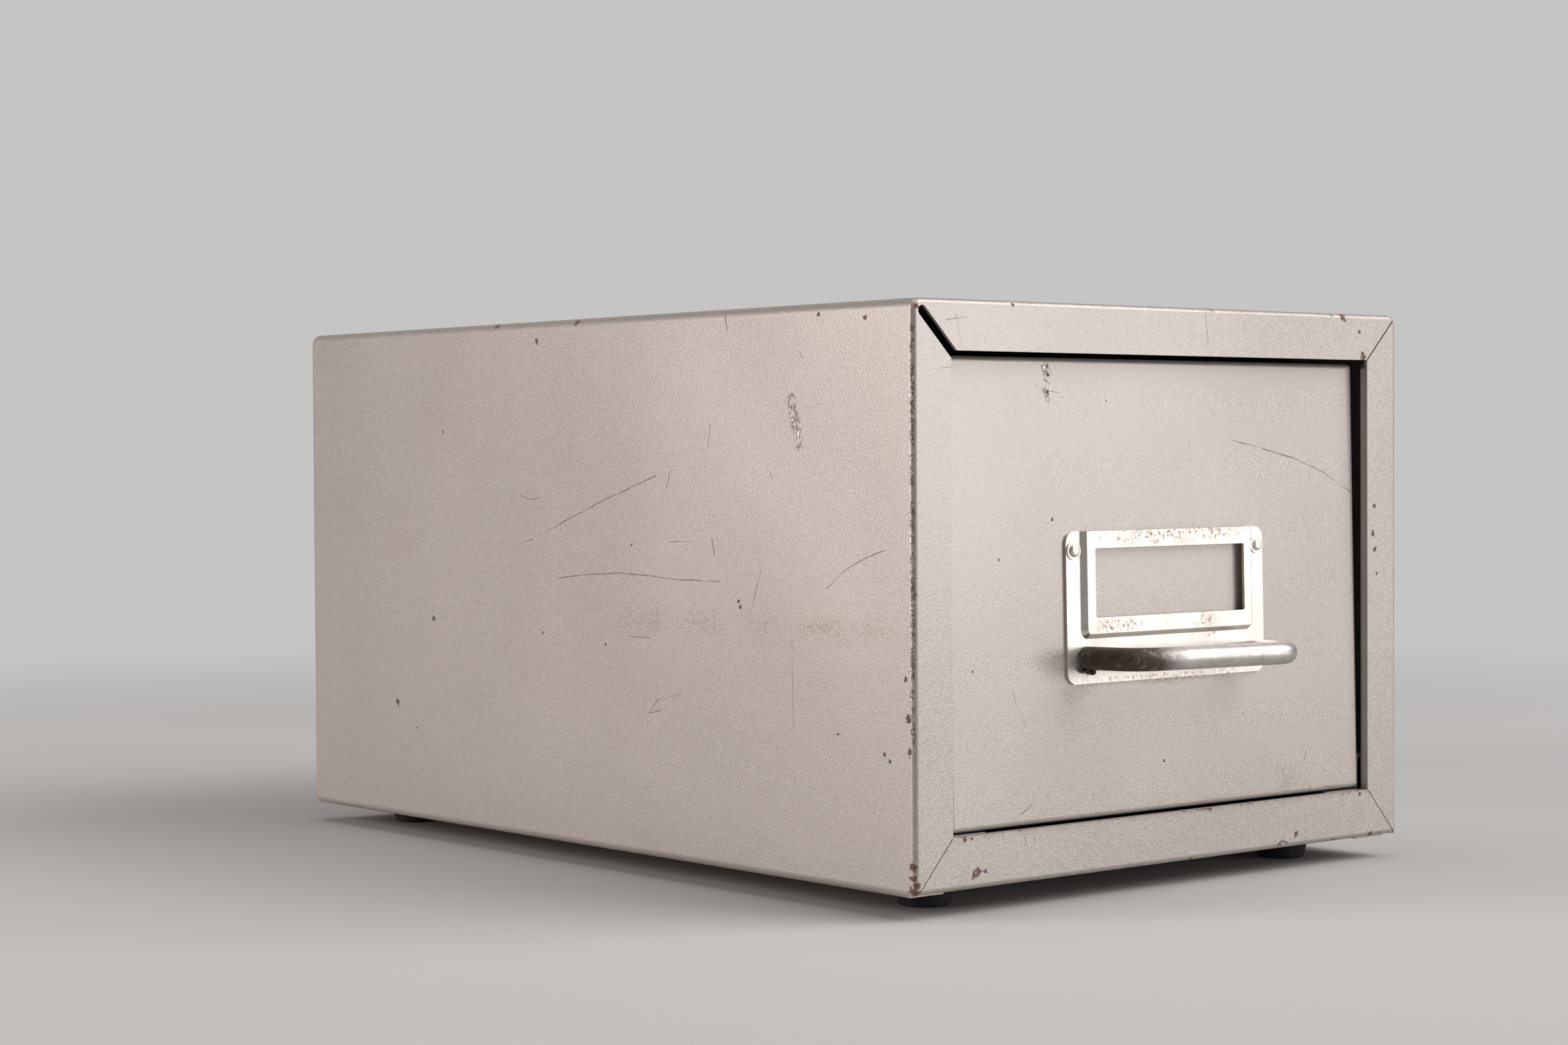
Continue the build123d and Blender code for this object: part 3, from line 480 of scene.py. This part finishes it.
def worn_nickel(name, patches, dull=0.0):
    """Nickel plate; patches are (half length, half height, x, z) in mm, where rust shows most."""
    material, place, shader = new_finish(name, Metallic=1.0)
    fine, streak = place.noise(2300, 2.0), place.vector("MULTIPLY", (1.0, 1.0, 0.12)).noise(900, 2.0)
    cloud, speck = place.noise(120, 3.0, 0.6), place.noise(950, 4.0, 0.75)
    rusty = cloud * 0.0
    for half_length, half_height, x, z in patches:
        offset = place.vector("SUBTRACT", metres((x, 0, z)))
        offset = offset.vector("MULTIPLY", (MM_IN_METRE / half_length, 0.0, MM_IN_METRE / half_height))
        rusty = rusty.most((1.35 - offset.vector("LENGTH", output=1)).kept())
    rust = ((speck - 0.51) * 9.0 * rusty).kept() * 0.9
    dulled = (cloud * 1.8 - 0.55 + dull).kept()
    colour = dulled.blend(NICKEL, NICKEL_DULL)
    colour = rust.blend(colour, fine.blend(TAN_RUST, DEEP_RUST))
    skin = fine.bump(FINE_DEPTH, streak.bump(STREAK_DEPTH, cloud.bump(SWELL_DEPTH)))
    connect(shader, Base_Color=colour, Metallic=1.0 - rust * 0.75, Normal=skin,
            Roughness=(0.38 + dulled * 0.12 + (fine - 0.5) * 0.12 + rust * 0.3).kept())
    return material


plate_rust = [(24, 2.2, -2, 93.2), (11, 2.0, 16, 93.4), (10, 1.8, -20, 69.9), (5, 1.6, 12.5, 70.3),
              (3, 1.2, 17, 66.6), (30, 1.0, 0, 55.8)]
coat(worn_nickel("plate_nickel", plate_rust), "label_holder")
coat(worn_nickel("rivet_nickel", [], dull=0.25), "plate_rivets")


# ---------------------------------------------------------------- handle
# Bent from round steel rod and left bare; worn to a dull satin, with fine pits all over and brown
# tarnish on the left leg. A small torn lip of metal hangs under that leg, where it enters the plate.
STEEL, STEEL_DARK, TARNISH = (0.74, 0.71, 0.685, 1), (0.42, 0.39, 0.37, 1), (0.042, 0.025, 0.014, 1)
TARNISH_REACH = 15.0                     # mm from the handle's left end
handle_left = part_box("pull_handle")[0].x


def worn_rod(name):
    """Satin steel with pits, and tarnish that fades to the right of the left leg."""
    material, place, shader = new_finish(name, Metallic=1.0)
    fine, pits, cloud = place.noise(2600, 2.0), place.noise(1500, 3.0, 0.7), place.noise(170, 3.0, 0.65)
    across = place.node("ShaderNodeSeparateXYZ", {}, {0: place}, "X")
    from_left = (across - handle_left) * (MM_IN_METRE / TARNISH_REACH)
    brown = ((1.3 - from_left) * 1.5).kept() * (cloud * 1.2 + place.noise(900, 3.0) * 0.9).kept()
    pit = pits.above(0.63, 11.0)
    colour = (cloud * 1.7 - 0.35).kept().blend(STEEL, STEEL_DARK)
    colour = (brown * 0.92).blend(colour, TARNISH)
    colour = pit.blend(colour, TARNISH)
    skin = (fine * 0.4 - pit).bump(0.00003, cloud.bump(0.00005))
    connect(shader, Base_Color=colour, Metallic=1.0 - brown * 0.45 - pit * 0.4, Normal=skin,
            Roughness=(0.34 + (fine - 0.5) * 0.2 + cloud * 0.12 + brown * 0.25).kept())
    return material


coat(worn_rod("handle_steel"), "pull_handle")

LEG_X, LEG_Z, PLATE_FACE_Y = -30.4, 61.9, -129.4         # mm
LIP_STEPS, LIP_SIDES = 49, 16
LIP_THICK, LIP_RING, LIP_START, LIP_END = 0.62, 3.55, -138, -48      # mm, mm and degrees about the leg
LIP_STANDOFF, LIP_LENGTHEN = 0.75, 1.25


def torn_lip(name, x, y, z, ring, start, end):
    """A bead of metal round part of the leg, in mm. Its middle line is an arc of a ring about the
    leg's axis, with about two waves in its radius and two and a half along the leg. Its thickness
    goes as the root of a half sine, with ripples, and comes to a point at both ends, which are
    single vertices."""
    t = np.linspace(0, 1, LIP_STEPS)[:, None]
    s = np.linspace(0, 2 * np.pi, LIP_SIDES, endpoint=False)[None, :]
    turn = np.radians(start + (end - start) * t)
    ripple = 1 + 0.28 * np.sin(19 * t) + 0.16 * np.sin(43 * t + 1 + 2 * s)
    thick = LIP_THICK * np.sqrt(np.sin(np.pi * t)) * ripple
    out = ring + 0.35 * np.sin(11 * t) + thick * np.cos(s)
    along = y - LIP_STANDOFF - 0.45 * np.sin(15 * t + 2) + thick * np.sin(s) * LIP_LENGTHEN
    points = 0.001 * np.stack([x + out * np.cos(turn), along + 0 * turn, z + out * np.sin(turn)], axis=-1)
    loop, after = np.arange(LIP_SIDES), (np.arange(LIP_SIDES) + 1) % LIP_SIDES
    row = 1 + LIP_SIDES * np.arange(LIP_STEPS - 3)[:, None]
    quads = np.stack([row + loop, row + after, row + after + LIP_SIDES, row + loop + LIP_SIDES], axis=-1)
    last = 1 + LIP_SIDES * (LIP_STEPS - 3)
    tip = last + LIP_SIDES
    caps = np.vstack([np.stack([0 * loop, 1 + after, 1 + loop], axis=-1),
                      np.stack([0 * loop + tip, last + loop, last + after], axis=-1)])
    mesh = bpy.data.meshes.new(name)
    mesh.from_pydata(np.vstack([points[0, :1], points[1:-1].reshape(-1, 3), points[-1, :1]]).tolist(), [],
                     quads.reshape(-1, 4).tolist() + caps.tolist())
    mesh.polygons.foreach_set("use_smooth", np.ones(len(mesh.polygons), bool))
    piece = bpy.data.objects.new(name, mesh)
    bpy.context.scene.collection.objects.link(piece)
    return piece


burr = torn_lip("handle_burr", LEG_X, PLATE_FACE_Y, LEG_Z, LIP_RING, LIP_START, LIP_END)
burr.data.materials.append(worn_rod("burr_steel"))
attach(burr, "drawer")


# ---------------------------------------------------------------- feet and bumpers
# Moulded black rubber, dull and a little dusty. Each foot is held by a screw through the case's
# bottom, and each bumper is snapped through the back panel.
RUBBER, RUBBER_DUST = (0.022, 0.021, 0.020, 1), (0.16, 0.14, 0.12, 1)


def dusty_rubber(name):
    material, place, shader = new_finish(name, Specular_IOR_Level=0.35)
    dust = (place.noise(300, 4.0, 0.7) * 2.2 - 0.9).kept()
    fine = place.noise(2400, 2.0)
    connect(shader, Base_Color=(dust * 0.35).blend(RUBBER, RUBBER_DUST),
            Roughness=0.72 + dust * 0.2, Normal=fine.bump(0.00003))
    return material


coat(dusty_rubber("foot_rubber"), "foot_front_left", "foot_front_right", "foot_rear_left", "foot_rear_right",
     "back_bumper_left", "back_bumper_right")


# ---------------------------------------------------------------- zinc-plated hardware
# Screws, nuts, washers, the rail with its rivets, and the follower's shoe, lever, pin and spring:
# bright zinc gone dull, spangled in patches, with a little white bloom.
ZINC, ZINC_DARK, ZINC_BLOOM = (0.60, 0.59, 0.57, 1), (0.44, 0.435, 0.425, 1), (0.55, 0.54, 0.51, 1)


def dull_zinc(name):
    material, place, shader = new_finish(name, Metallic=1.0)
    spangle, bloom, fine = place.noise(240, 1.0), place.noise(500, 4.0, 0.7), place.noise(2500, 2.0)
    white = bloom.above(0.6, 7.0)
    colour = (spangle * 2.4 - 0.7).kept().blend(ZINC, ZINC_DARK)
    connect(shader, Base_Color=(white * 0.6).blend(colour, ZINC_BLOOM), Metallic=1.0 - white * 0.5,
            Roughness=(0.34 + spangle * 0.14 + white * 0.3).kept(), Normal=fine.bump(0.00001))
    return material


coat(dull_zinc("hardware_zinc"), "foot_screws", "foot_washers", "foot_nuts", "handle_washers", "rail_rivets",
     "follower_rail", "follower_shoe", "follower_rivets", "lever_pin", "lever_spring", "lock_lever")


# ---------------------------------------------------------------- card follower
# The leaning plate that holds the cards up: sheet steel in the drawer's paint, riveted to the
# zinc-plated shoe.
coat(grey_paint("follower_paint", *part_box("follower_plate"), wear=0.6), "follower_plate")
